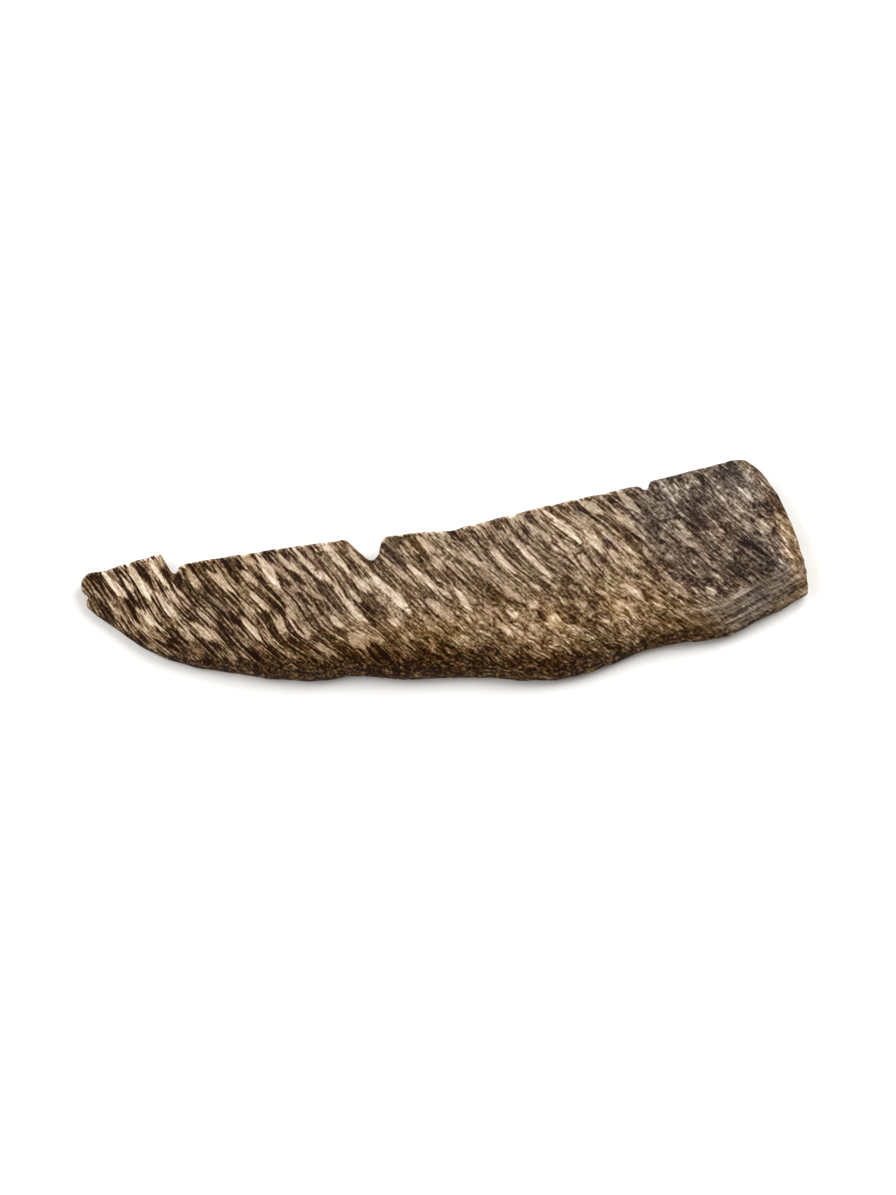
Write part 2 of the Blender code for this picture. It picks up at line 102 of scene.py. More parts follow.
# Pale streaks of wood with little resin, seen from above, in millimetres:
# x and y of each end, width near each end, and how pale it is, 1 the palest.
PALE_STREAKS = (
    # The thin tip: bold and widely spaced.
    (-46.5, 12.8, -43.3, 7.7, 0.7, 1.5, 1.0),
    (-43.5, 10.9, -42.4, 8.3, 0.8, 0.9, 0.85),
    (-42.9, 13.3, -40.1, 6.7, 1.1, 1.5, 1.0),
    (-39.8, 13.8, -37.6, 8.3, 0.8, 1.0, 0.95),
    (-38.8, 13.9, -37.5, 10.8, 0.8, 0.7, 0.75),
    (-39.7, 8.2, -37.0, 2.6, 0.9, 0.9, 0.95),
    (-38.0, 8.0, -36.5, 5.0, 0.9, 0.7, 0.75),
    (-37.1, 9.0, -35.1, 4.9, 0.6, 0.8, 0.85),
    (-34.9, 10.3, -33.2, 6.8, 1.3, 0.8, 0.5),
    (-32.2, 9.5, -28.4, 4.9, 1.4, 0.7, 0.85),
    (-31.2, 11.0, -29.9, 7.8, 0.4, 0.5, 0.6),
    (-37.1, 3.0, -35.5, -0.3, 0.4, 0.5, 0.7),
    (-35.5, 2.9, -33.1, -1.1, 0.9, 1.1, 0.85),
    (-34.5, 4.6, -32.2, 0.6, 0.6, 0.6, 0.6),
    (-33.3, 1.2, -31.7, -1.7, 0.5, 0.7, 0.5),
    (-34.2, 6.6, -31.7, 1.8, 0.4, 0.4, 0.5),
    (-32.8, 6.8, -30.8, 3.4, 0.4, 0.4, 0.5),
    (-30.7, 2.2, -28.1, -1.6, 0.6, 0.6, 0.65),
    (-28.6, 2.0, -26.4, -2.7, 1.0, 1.1, 0.85),
    (-28.4, 4.6, -26.3, 0.6, 0.8, 0.7, 0.55),
    (-46.0, 8.0, -43.9, 4.6, 0.7, 0.8, 0.65),
    (-44.1, 5.4, -40.7, 1.3, 0.5, 0.5, 0.65),
    (-42.6, 6.6, -39.9, 2.7, 0.8, 0.9, 0.85),
    (-40.0, 3.0, -38.6, 0.7, 0.8, 0.5, 0.8),
    (-41.1, 6.0, -40.0, 3.4, 0.5, 0.6, 0.6),
    (-47.9, 9.9, -46.6, 8.2, 0.6, 0.6, 0.5),
    (-45.2, 5.2, -44.3, 3.8, 0.5, 0.5, 0.45),
    (-43.7, 4.2, -42.6, 2.2, 0.5, 0.5, 0.45),
    (-31.1, -2.7, -30.1, -4.5, 0.5, 0.5, 0.55),
    (-29.9, -2.7, -28.4, -4.7, 0.5, 0.5, 0.55),
    (-38.5, 2.2, -37.2, 0.2, 0.4, 0.4, 0.5),
    (-30.3, 5.2, -29.1, 3.1, 0.5, 0.5, 0.5),
    (-35.4, -1.2, -34.3, -2.4, 0.5, 0.5, 0.4),
    # Between the first two notches.
    (-27.6, 8.7, -25.4, 5.5, 0.9, 0.9, 0.75),
    (-27.1, 10.9, -25.3, 8.6, 1.3, 1.1, 0.45),
    (-25.0, 10.8, -22.5, 4.2, 1.3, 1.4, 1.0),
    (-22.7, 10.0, -19.1, 5.8, 0.9, 0.9, 0.75),
    (-19.8, 10.3, -16.9, 4.6, 0.8, 0.9, 0.9),
    (-15.9, 10.2, -12.5, 4.3, 0.9, 1.0, 0.85),
    (-12.9, 4.9, -10.5, 1.6, 0.8, 0.9, 0.9),
    (-17.3, 6.7, -14.0, 1.2, 0.8, 0.9, 0.75),
    (-14.8, 1.9, -11.7, -3.0, 1.1, 1.1, 0.85),
    (-12.5, 3.9, -11.0, 1.4, 0.7, 0.7, 0.7),
    (-13.3, 2.2, -12.0, 0.2, 0.6, 0.7, 0.65),
    (-26.9, 5.2, -24.3, 1.2, 0.7, 1.1, 0.8),
    (-22.4, 1.9, -21.2, -0.6, 0.9, 0.8, 0.9),
    (-22.3, 0.3, -21.2, -2.8, 0.4, 0.4, 0.6),
    (-21.4, -0.5, -19.6, -3.9, 0.4, 0.6, 0.8),
    (-23.4, 1.6, -22.8, -2.2, 0.3, 0.4, 0.6),
    (-24.1, 0.9, -23.4, -1.4, 0.3, 0.3, 0.5),
    (-20.4, 5.0, -17.0, 1.5, 0.6, 0.9, 0.55),
    (-21.2, 4.9, -20.1, 3.3, 0.7, 0.6, 0.6),
    (-19.6, -4.1, -16.6, -6.9, 0.7, 1.0, 0.7),
    (-19.3, 1.5, -17.2, -1.6, 0.5, 0.5, 0.5),
    (-18.3, -0.2, -16.2, -3.6, 0.5, 0.5, 0.5),
    (-16.6, -0.9, -15.2, -3.0, 0.8, 0.9, 0.7),
    (-14.6, -3.8, -12.7, -6.8, 2.0, 1.6, 0.5),
    (-13.2, -3.6, -11.9, -6.4, 1.2, 1.2, 0.5),
    (-12.8, 9.2, -11.1, 5.8, 0.6, 0.6, 0.6),
    (-17.4, 9.4, -16.0, 6.6, 0.3, 0.4, 0.45),
    (-11.3, -5.1, -9.7, -6.0, 0.6, 0.6, 0.55),
    # Behind the middle notch to the belly.
    (-10.5, 5.0, -5.4, -3.0, 1.0, 1.5, 1.0),
    (-8.5, 7.0, -4.1, 0.7, 0.6, 0.8, 0.6),
    (-8.9, -3.0, -7.2, -4.2, 0.7, 0.8, 0.7),
    (-7.9, -5.2, -6.7, -7.1, 0.7, 0.7, 0.5),
    (-10.6, 3.8, -9.2, 1.7, 0.6, 0.6, 0.65),
    (-4.9, 4.8, -1.3, 0.0, 1.0, 1.1, 0.7),
    (-4.9, 8.5, -3.2, 5.9, 0.6, 0.5, 0.5),
    (-2.9, 8.8, -0.6, 5.3, 1.0, 1.0, 0.8),
    (-1.2, 5.2, 0.4, 2.5, 0.5, 0.5, 0.6),
    (-1.7, 4.7, -0.6, 2.8, 0.5, 0.5, 0.6),
    (1.0, -0.3, 3.1, -5.3, 0.9, 1.1, 1.0),
    (-3.4, -0.6, 0.6, -5.0, 1.3, 1.1, 0.5),
    (-1.5, 0.6, 0.4, -1.6, 0.8, 0.7, 0.6),
    (2.9, 5.4, 5.0, 2.6, 1.3, 1.3, 0.65),
    (4.8, 3.4, 6.6, 1.4, 0.9, 0.7, 0.6),
    (1.6, 4.0, 3.6, 1.1, 0.8, 0.4, 0.55),
    (6.3, 5.5, 10.0, -0.2, 0.8, 1.1, 0.95),
    (10.5, 4.7, 14.9, -2.0, 1.1, 0.8, 0.9),
    (6.6, -0.6, 10.6, -4.2, 1.2, 1.3, 0.65),
    (11.7, -1.5, 12.6, -2.5, 0.6, 0.6, 0.7),
    (7.7, -4.4, 8.8, -6.1, 1.1, 1.0, 0.55),
    (5.7, -6.1, 8.1, -8.2, 0.8, 0.9, 0.5),
    (0.6, -6.9, 2.2, -8.9, 0.9, 1.0, 0.55),
    (-4.1, -6.7, -2.4, -8.4, 0.8, 0.8, 0.5),
    (-3.9, -4.8, -2.4, -6.1, 0.9, 0.9, 0.5),
    (8.1, 7.5, 13.2, 2.8, 0.6, 0.7, 0.5),
    (12.1, 8.3, 14.3, 5.8, 0.6, 0.7, 0.55),
    (0.3, 8.3, 1.5, 7.0, 0.8, 0.7, 0.4),
    (10.0, 9.4, 12.0, 8.2, 1.1, 1.0, 0.5),
    (12.5, -6.3, 14.8, -8.4, 1.7, 1.7, 0.6),
    # Towards the broad end: narrower and greyer.
    (14.9, 9.5, 19.5, 3.2, 1.0, 1.3, 0.95),
    (15.5, 5.9, 18.4, 0.2, 0.6, 0.9, 0.75),
    (15.1, 4.1, 16.0, 2.4, 0.7, 0.6, 0.6),
    (14.1, 6.2, 15.3, 4.5, 1.1, 1.0, 0.55),
    (20.1, 9.8, 23.2, 7.1, 1.4, 1.4, 0.75),
    (20.0, 5.4, 22.3, 1.1, 1.2, 1.0, 0.8),
    (24.5, 7.6, 28.1, 2.5, 1.0, 1.0, 0.8),
    (25.4, 10.0, 28.4, 6.6, 1.4, 1.2, 0.65),
    (22.3, 4.9, 24.5, 1.7, 0.5, 0.5, 0.55),
    (18.2, 2.1, 21.2, -2.2, 0.8, 0.9, 0.65),
    (22.4, 2.5, 24.8, -2.0, 0.5, 0.6, 0.55),
    (23.2, 1.9, 24.1, 0.5, 0.8, 0.8, 0.6),
    (25.2, 1.9, 28.0, -0.6, 0.4, 0.4, 0.5),
    (24.8, 0.9, 27.5, -1.5, 0.4, 0.5, 0.5),
    (22.9, -3.0, 26.6, -6.4, 1.2, 1.3, 0.75),
    (21.9, -6.0, 23.3, -7.7, 1.5, 1.5, 0.7),
    (23.6, -6.1, 24.8, -8.0, 0.8, 0.9, 0.55),
    (16.7, -4.2, 18.6, -6.8, 0.8, 0.8, 0.6),
    (16.2, -8.4, 18.1, -9.8, 0.7, 0.7, 0.5),
    (18.9, -1.7, 19.8, -3.8, 0.6, 0.7, 0.65),
    (22.9, -2.1, 23.9, -3.0, 0.9, 0.9, 0.55),
    (29.9, -3.2, 32.6, -7.4, 0.9, 1.2, 0.75),
    (30.1, -8.3, 31.4, -9.6, 1.1, 1.1, 0.6),
    (30.2, -0.1, 31.3, -1.1, 0.7, 0.8, 0.65),
    (31.9, 3.7, 34.9, 0.1, 0.9, 1.6, 0.85),
    (32.7, 4.7, 34.1, 3.4, 0.6, 0.6, 0.5),
    (31.4, 10.4, 32.3, 8.9, 0.8, 0.7, 0.5),
    (35.1, 9.8, 35.9, 8.6, 0.8, 0.7, 0.6),
    (34.7, 0.6, 36.4, -2.9, 0.6, 0.8, 0.65),
    (35.1, -6.1, 36.4, -7.3, 1.1, 1.1, 0.6),
    (36.6, -4.4, 37.6, -5.8, 0.5, 0.5, 0.55),
    (33.1, -7.4, 34.8, -9.8, 0.5, 0.5, 0.6),
    (38.3, 9.1, 39.8, 6.0, 0.6, 0.6, 0.5),
    (38.2, 2.4, 39.4, 1.7, 0.7, 0.7, 0.45),
    (38.9, -1.4, 39.6, -2.6, 0.6, 0.6, 0.5),
    (40.3, 5.9, 42.1, 2.2, 0.5, 0.6, 0.55),
    (41.9, 2.9, 42.8, 1.1, 0.9, 1.0, 0.6),
    (42.3, 8.1, 44.0, 5.7, 1.2, 1.1, 0.5),
    (43.3, 3.1, 44.9, -0.8, 0.8, 0.7, 0.55),
    (44.1, 3.1, 45.4, 0.7, 0.7, 0.6, 0.55),
    (41.2, -5.1, 42.1, -6.4, 0.6, 0.7, 0.4),
    (45.9, 8.6, 46.8, 7.2, 1.1, 1.1, 0.6),
    (46.6, 0.4, 47.8, -0.6, 1.3, 1.3, 0.6),
    (46.2, -1.9, 47.7, -3.2, 1.3, 1.3, 0.5),
    (47.3, -5.4, 48.5, -6.9, 0.9, 0.9, 0.6),
)

# Soft patches: centre x and y, half length along the grain, half width
# across it, tone (below 0 dark with resin, above 0 pale) and warmth
# (below 0 grey, above 0 golden).
PATCHES = (
    (-48.0, 11.5, 2.6, 2.0, -0.30, 0.1),
    (-43.2, 6.5, 2.4, 1.0, -0.40, 0.4),
    (-46.4, 5.2, 1.8, 1.4, -0.45, -0.6),
    (-32.0, 5.0, 3.6, 1.5, -0.40, -0.4),
    (-28.7, 10.2, 2.4, 1.8, -0.35, -0.8),
    (-30.5, 0.3, 3.0, 1.4, -0.45, 0.0),
    (-37.2, -0.4, 2.6, 1.7, -0.50, 0.2),
    (-34.2, -2.8, 3.2, 1.8, -0.70, 0.1),
    (-26.6, -5.2, 3.8, 2.0, -0.80, 0.0),
    (-20.8, -6.4, 2.2, 1.6, -0.50, 0.2),
    (-22.4, -4.0, 2.5, 1.8, -0.20, 0.3),
    (-16.4, 2.6, 3.0, 1.4, -0.35, -0.5),
    (-15.2, 7.0, 1.7, 1.2, -0.30, -0.5),
    (-11.6, -1.0, 2.4, 1.2, -0.40, 0.3),
    (-10.4, -7.8, 3.0, 2.2, -0.45, 0.1),
    (-26.2, 9.2, 2.2, 1.6, 0.10, 0.3),
    (-6.3, 8.2, 1.5, 1.5, -0.35, -0.7),
    (-6.1, 5.9, 2.0, 1.1, -0.25, -0.9),
    (-2.8, 7.8, 2.4, 2.0, 0.05, 0.8),
    (0.6, 2.0, 2.8, 1.3, -0.40, 0.1),
    (6.4, -2.8, 2.2, 1.5, -0.35, 0.3),
    (2.6, 8.6, 2.4, 1.3, -0.30, 0.2),
    (8.4, 8.8, 2.0, 1.6, -0.35, -0.2),
    (12.6, 7.2, 2.6, 2.0, -0.10, -0.6),
    (-13.6, -5.6, 3.6, 2.6, 0.15, 0.1),
    (-2.0, -7.2, 3.0, 3.0, -0.15, 0.4),
    (13.6, -7.0, 2.8, 2.2, 0.15, 0.7),
    (22.6, -6.8, 2.0, 1.7, 0.15, 0.7),
    (20.6, -4.0, 3.0, 1.6, -0.25, 0.6),
    (23.0, -1.8, 2.0, 2.0, 0.05, 0.5),
    (26.7, 3.5, 2.4, 0.9, -0.55, 0.2),
    (28.9, 3.6, 5.2, 1.4, -0.20, -0.9),
    (19.6, 7.9, 1.6, 1.2, -0.25, -0.8),
    (23.0, 3.4, 1.6, 1.0, -0.25, -0.8),
    (27.6, -1.5, 2.6, 1.0, -0.40, 0.5),
    (35.7, 3.9, 2.2, 1.6, -0.50, -0.3),
    (36.8, 6.8, 2.4, 2.0, -0.30, -0.2),
    (41.3, 9.8, 2.6, 2.2, -0.35, -1.0),
    (42.4, -0.4, 2.8, 2.0, -0.30, -0.7),
    (43.8, -3.6, 2.6, 1.8, -0.24, -0.8),
    (45.4, -4.6, 1.8, 1.4, -0.15, -1.3),
    (44.8, 4.6, 1.7, 1.7, -0.40, 0.2),
    (45.8, 2.0, 2.4, 1.0, -0.35, 0.2),
    (39.5, -4.0, 3.0, 1.4, -0.35, -0.4),
    (42.0, -8.0, 2.6, 1.8, -0.25, -0.9),
    (47.0, -2.6, 1.4, 1.0, 0.10, 0.7),
    (34.0, -12.0, 4.0, 3.0, -0.40, 0.2),
)

# How far the dark rind reaches up from the foot of the front edge, partly dark resin skin
# and partly painted shade on the rolled wall: x and reach.
RIND_AND_SHADE_REACH = (
    (-49.0, 0.3), (-42.0, 0.6), (-36.0, 1.3), (-31.0, 1.7), (-25.0, 2.9), (-18.0, 2.4),
    (-12.0, 2.4), (-5.0, 2.4), (0.0, 2.8), (8.0, 2.6), (14.0, 2.2), (20.0, 1.6),
    (26.0, 1.6), (32.0, 1.5), (37.0, 0.7), (49.0, 0.3),
)

# The pale streaks: how soft an edge is on either side and how far it sways, in
# millimetres, how blunt the tapering ends are, how fast a streak fades beyond
# its ends, and how far off its ends and its line it still counts.
STREAK_EDGE = 0.4
STREAK_SWAY = 0.16
STREAK_TAPER = 0.8
STREAK_FADE = 0.5
STREAK_REACH = (3.0, 2.0)

# Streaks that meet blend, the less the higher STREAK_BLEND is. Far from them
# all the field would fall to STREAK_NONE, but it is cut off at -1, and wood
# counts as pale as PLAIN_PALENESS.
STREAK_BLEND = 4.0
STREAK_NONE = -1.5
PLAIN_PALENESS = 0.6

# Where kinds of wood fade in, from none to all, in millimetres along the slab,
# across it or in from the edge that they follow: the thin tip and the broad
# end, with the middle between them, and the belly at the middle's front; grey
# wood in the broad end, greyest at the back, and golden wood at the front of
# the rest; the bevel at the broad end's front and the rim round its end, golden
# and lightened by painted light; the foot of the front edge, darker partly as
# painted shade; and the back edge, worn and lit by a painted highlight. The
# rind's are shares of its reach and the patches' are shares of their half sizes.
TIP_ALONG = (-12.0, -27.0)
END_ALONG = (24.0, 34.0)
BELLY_ALONG, BELLY_ACROSS = (-12.0, 8.0), (0.0, -5.0)
GREY_ALONG, GREY_LEAN = (24.0, 32.0), 0.75
GREY_BACK = (2.0, 7.0)
GOLDEN_ACROSS = (0.0, -6.0)
BEVEL_ALONG, BEVEL_IN = (29.0, 35.0), (4.4, 3.4)
RIM_ALONG, RIM_IN = (40.0, 44.0), (3.4, 1.4)
FOOT_ALONG, FOOT_UP = (14.0, 24.0), (7.0, 1.2)
FOOT_FADE = 0.8
WORN_AND_LIT_IN = (0.9, 0.3)
RIND_AND_SHADE_SHARES = (1.8, 0.2)
PATCH_FADE = (1.25, 0.25)

# The share of the blotches that is lost at the tip, and the shares of the
# patches and of the rind, partly painted shade, that are left on the underside.
TIP_BLOTCH_LOSS = 0.6
UNDER_PATCH = 0.35
UNDER_RIND_AND_SHADE = 0.3

# How far up a point faces as it comes to count as the top, and as anything but
# the underside: -1 is straight down and 1 straight up.
FACING_TOP = (-0.1, 0.5)
FACING_OUT = (-0.6, 0.0)

# Tone and warmth of the patches at which wood counts as soaked with resin.
RESINED_TONE = (-0.1, -0.5)
RESINED_WARMTH = (0.1, -0.4)

# Each value that the material reads: what each kind of wood adds to it, and
# the share of it that each kind takes away. Base is the tone between streaks
# and gain what a pale streak adds to it. Filling is how strong the weave of
# fibres between the streaks is, flecks how strong the pale slivers are, and
# mottling and specks the same for soft mottles and fine pores. Warmth is below
# 0 in grey wood and above 0 in golden wood.
RECIPES = {
    "base": (
        {
            # The rim's lift in base is painted light, and the foot's darkening is partly
            # painted shade on the rolled front edge.
            "tip": 0.29, "middle": 0.39, "end": 0.27, "drift": 0.05, "blotch": 0.06,
            "patch": 0.28, "under": 0.05, "bevel": 0.14, "golden_lit_rim": 0.05, "foot": -0.27,
            "belly": -0.01,
        },
        {},
    ),
    "gain": (
        {"tip": 0.50, "middle": 0.38, "end": 0.33},
        {"belly": 0.4, "golden_lit_rim": 0.5, "unpaled": 0.8},
    ),
    "filling": (
        {"tip": 0.44, "middle": 0.30, "end": 0.14},
        {"resined": 0.7, "bevel": 0.8, "belly": 0.5},
    ),
    "flecks": ({"end": 0.26, "belly": 0.19}, {"resined": 0.7, "bevel": 1.0}),
    "mottling": (
        {"tip": 0.10, "middle": 0.25, "end": 0.45, "belly": 0.64, "golden_lit_rim": 0.4},
        {"bevel": 0.6},
    ),
    "warmth": (
        {
            "all": -0.12, "tip": 0.35, "grey": -0.68, "grey_back": -0.6, "golden": 0.6,
            "drift": 0.4, "warm_patch": 0.55, "golden_lit_rim": 1.0, "bevel": -0.3,
        },
        {},
    ),
    "specks": ({"all": 0.85, "belly": 0.10}, {"resined": 0.6, "bevel": 0.5}),
}
WARMTH_LIMITS = (-1.6, 1.3)

# Noise in the wood's build: its size in millimetres along, across and through
# the slab, and a shift that tells one noise from the next.
WANDER = (7.0, 7.0, 12.0), (0.0, 0.0, 0.0)
CURLS = (1.9, 1.9, 6.0), (0.0, 0.0, 5.0)
DRIFT = (8.0, 8.0, 12.0), (0.0, 0.0, 17.0)
BLOTCHES = (2.6, 3.2, 6.0), (8.0, 0.0, 0.0)
SWAY = (2.4, 2.4, 1.0), (0.0, 0.0, 3.7)

# The grain's pattern changes through the slab at this share of its usual rate,
# since fibres run on down the edges.
GRAIN_DEPTH = 0.25

# Noise in the relief: across the grain, along it and through the slab.
RELIEF_BUNDLES = (0.9, 8.0, 1.0), (3.0, 0.0, 0.0)
RELIEF_FIBRES = (0.5, 4.0, 1.0), (9.0, 0.0, 0.0)

# How far noise moves the fibres sideways, in millimetres: in long bends all
# over, and in curls, tighter in the belly and a little in the broad end.
BEND_WANDER = 0.25
CURL_WANDER = {"all": 0.05, "belly": 0.36, "end": 0.08}

# The relief: the fibres' height against the bundles', how much calmer the side
# walls are and how far sideways they face, the span of the streak field over
# which the wood gets worn, and the height under which the slab stays flat to
# rest on.
FIBRE_SHARE = 0.7
WALL_CALM = 0.8
WALL_FACING = (0.3, 0.8)
WORN_STREAK = (-1.0, 0.8)
REST_HEIGHT = 0.02 * MM

# Noise drawn by the material: length along the grain and width across it in
# millimetres, octaves and shift. Bundles of fibres 0.3 mm wide fray the
# streaks. Single fibres, really about 0.03 mm wide, are drawn 0.17 mm wide so
# that they show.
GRAIN_NOISE = {
    "strands": (6.5, 0.60, 1.0, 5.0),
    "bundles": (3.2, 0.32, 2.0, 11.0),
    "fibres": (1.2, 0.17, 1.0, 31.0),
    "slivers": (2.2, 0.36, 2.0, 53.0),
    "pores": (0.45, 0.34, 2.0, 23.0),
    "mottles": (1.5, 0.9, 2.0, 41.0),
    "hues": (4.0, 1.6, 1.0, 67.0),
}

# The same, along the slab's front edge and away from it.
EDGE_NOISE = {
    "layers": (9.0, 0.60, 2.0, 37.0),
    "blotches": (2.2, 1.3, 2.0, 91.0),
    "lines": (1.0, 0.45, 2.0, 71.0),
}

# The weights of the noises in the fine grain, the rind with its painted shade and the bump.
FINE_GRAIN = {"fibres": 0.50, "bundles": 0.30}
RIND_AND_SHADE_TONE = 0.18
RIND_AND_SHADE_GRAIN = {"pores": 1.1, "lines": 0.90, "mottles": 0.55}
RIND_AND_SHADE_EDGE = {"bundles": 1.2, "blotches": 2.4}
BUMP_GRAIN = {"bundles": 0.8, "fibres": 0.5}
BUMP_STRENGTH = 0.7

# How much bundles add to the weave, how much of the weave and of the fine
# grain a pale streak hides, how strongly the bevel's layers and the scuffs
# with the painted highlight on the back edge show, and how far hue and
# saturation swing.
WEAVE_BUNDLES = 0.9
WEAVE_HIDDEN = 0.7
GRAIN_HIDDEN = 0.4
LAYER_STRENGTH = 1.1
SCUFF_AND_HIGHLIGHT_STRENGTH = 0.35
HUE_SWING = 0.05
WARMTH_SWING = 0.25

# The values over which the streaks, the weave between them, the slivers, the
# rind with its painted shade and the scuffs with the painted highlight on the
# back edge set in.
STREAKS_SET_IN = (-0.36, 0.34)
WEAVE_SETS_IN = (-0.13, 0.16)
SLIVERS_SET_IN = (0.0, 0.16)
RIND_AND_SHADE_SETS_IN = (0.25, 0.80)
SCUFFS_AND_HIGHLIGHT_SET_IN = (-0.14, 0.10)

# Resin is a little smoother than dry wood: tones, and roughness at each.
ROUGHNESS_TONES = (0.1, 0.6)
ROUGHNESS = (0.55, 0.85)


def hex_to_linear(code, alpha=1.0):
    """An sRGB hex colour as Blender's linear RGBA."""
    parts = [int(code[i:i + 2], 16) / 255 for i in (1, 3, 5)]
    linear = [
        c / 12.92 if c <= 0.04045 else ((c + 0.055) / 1.055) ** 2.4
        for c in parts
    ]
    return (*linear, alpha)


# Helpers for meshes and fields

def welded_copy(source, name):
    """A new mesh of a node's form, its doubled points made one."""
    mesh = source.data.copy()
    mesh.name = name
    work = bmesh.new()
    work.from_mesh(mesh)
    bmesh.ops.remove_doubles(work, verts=work.verts, dist=1e-7)
    work.to_mesh(mesh)
    work.free()
    return mesh


def with_modifier(mesh, kind, **settings):
    """The mesh as one modifier makes it."""
    holder = bpy.data.objects.new("holder", mesh)
    bpy.context.scene.collection.objects.link(holder)
    modifier = holder.modifiers.new(kind.lower(), kind)
    for name, value in settings.items():
        setattr(modifier, name, value)
    graph = bpy.context.evaluated_depsgraph_get()
    made = bpy.data.meshes.new_from_object(holder.evaluated_get(graph))
    bpy.data.objects.remove(holder)
    bpy.data.meshes.remove(mesh)
    return made


def read_vectors(collection, key):
    """One vector of each item, as rows."""
    flat = np.empty(len(collection) * 3)
    collection.foreach_get(key, flat)
    return flat.reshape(-1, 3)


def smoothstep(low, high, value):
    """0 up to low and 1 from high on, smooth in between; low may be the higher."""
    t = np.clip((value - low) / (high - low), 0.0, 1.0)
    return t * t * (3.0 - 2.0 * t)


def noise_at(place, sizes, shift):
    """Noise about 0 at three coordinates, of these sizes in millimetres."""
    scaled = (part / size + move for part, size, move in zip(place, sizes, shift))
    return np.array([noise.noise(Vector(point)) for point in zip(*scaled)])


def across_grain(x, y):
    """Place across the grain in millimetres: equal all along one fibre."""
    fanned = np.log1p(GRAIN_FAN * x) / GRAIN_FAN
    slant = fanned + GRAIN_SLANT * y - GRAIN_BEND * np.minimum(y, 0.0) ** 2
    for bend_x, bend_y, reach, extra_slant in GRAIN_BENDS:
        nearness = np.exp(-((x - bend_x) ** 2 + (y - bend_y) ** 2) / reach ** 2)
        slant = slant + extra_slant * (y - bend_y) * nearness
    return slant / math.hypot(1.0, GRAIN_SLANT)


def along_grain(x, y):
    """Place along the grain in millimetres."""
    return (GRAIN_SLANT * x - y) / math.hypot(1.0, GRAIN_SLANT)


def laid_streaks(x, y):
    """The listed pale streaks: 1 well inside one, 0 at its edge and -1 well
    off it; and how pale the wood is there. Streaks that meet blend."""
    total = np.full(len(x), math.exp(STREAK_BLEND * STREAK_NONE))
    shade = PLAIN_PALENESS * total
    sway = STREAK_SWAY * noise_at((x, y, np.zeros(len(x))), *SWAY)
    for x0, y0, x1, y1, width0, width1, pale in PALE_STREAKS:
        run = np.array((x1 - x0, y1 - y0))
        length = np.hypot(*run)
        run = run / length
        share = ((x - x0) * run[0] + (y - y0) * run[1]) / length
        side = np.abs((y - y0) * run[0] - (x - x0) * run[1] + sway)
        beyond = length * np.maximum(np.abs(share - 0.5) - 0.5, 0.0)
        near = (beyond < STREAK_REACH[0]) & (side < STREAK_REACH[1])
        along = np.clip(share[near], 0.0, 1.0)
        width = width0 + (width1 - width0) * along
        half = 0.5 * width * np.sin(math.pi * along) ** STREAK_TAPER
        off = np.hypot(side[near], STREAK_FADE * beyond[near])
        weight = np.exp(STREAK_BLEND * (half - off) / STREAK_EDGE)
        total[near] += weight
        shade[near] += pale * weight
    return np.clip(np.log(total) / STREAK_BLEND, -1.0, 1.0), shade / total


def patch_fields(across, along):
    """Tone and warmth of the soft patches."""
    tone = np.zeros(len(across))
    warmth = np.zeros(len(across))
    for x, y, half_length, half_width, patch_tone, patch_warmth in PATCHES:
        place = np.array((float(x),)), np.array((float(y),))
        u = (along - along_grain(*place)) / half_length
        v = (across - across_grain(*place)) / half_width
        weight = smoothstep(*PATCH_FADE, np.hypot(u, v))
        tone += patch_tone * weight
        warmth += patch_warmth * weight
    return tone, warmth


def edge_line(x, y, furthest):
    """The slab's outline seen from above, as y for each x: its back edge where
    furthest is 1 and its front edge where it is -1."""
    bins = np.round((x - x.min()) / OUTLINE_STEP).astype(int)
    line = np.full(bins.max() + 1, -np.inf)
    np.maximum.at(line, bins, furthest * y)
    return np.interp(x, x.min() + OUTLINE_STEP * np.arange(len(line)), furthest * line)


def store(mesh, name, values):
    """Keep a value or a vector for each point of the mesh."""
    if values.ndim == 1:
        layer = mesh.attributes.new(name, "FLOAT", "POINT")
        layer.data.foreach_set("value", values.astype(np.float32))
    else:
        layer = mesh.attributes.new(name, "FLOAT_VECTOR", "POINT")
        layer.data.foreach_set("vector", values.astype(np.float32).ravel())


# Materials

def add_node(tree, kind, inputs=None, output=0, **settings):
    """Add a node with its settings, values and incoming links, and give one of
    its outputs."""
    node = tree.nodes.new(kind)
    for name, value in settings.items():
        setattr(node, name, value)
    for key, value in (inputs or {}).items():
        if isinstance(value, bpy.types.NodeSocket):
            tree.links.new(value, node.inputs[key])
        else:
            node.inputs[key].default_value = value
    return node.outputs[output]


def new_material(name):
    """A material of this name, its node tree and its shader."""
    material = bpy.data.materials.new(name)
    material.use_nodes = True
    tree = material.node_tree
    return material, tree, tree.nodes["Principled BSDF"]


def drawn_noise(tree, place, length, width, octaves, shift):
    """Noise about 0, drawn out along the first axis, sizes in millimetres."""
    mapped = add_node(tree, "ShaderNodeMapping", {
        "Vector": place,
        "Scale": (1.0 / length, 1.0 / width, 1.0 / width),
        "Location": (shift, shift, shift),
    })
    made = add_node(
        tree, "ShaderNodeTexNoise", {"Vector": mapped, "Scale": 1.0, "Detail": octaves},
    )
    return add_node(tree, "ShaderNodeMath", {0: made, 1: 0.5}, operation="SUBTRACT")


def summed(tree, start, *terms):
    """The start plus each value times its weight."""
    for value, weight in terms:
        inputs = {0: value, 1: weight, 2: start}
        start = add_node(tree, "ShaderNodeMath", inputs, operation="MULTIPLY_ADD")
    return start


def weighed(drawn, weights):
    """Drawn noises, each with its weight."""
    return [(drawn[name], weight) for name, weight in weights.items()]


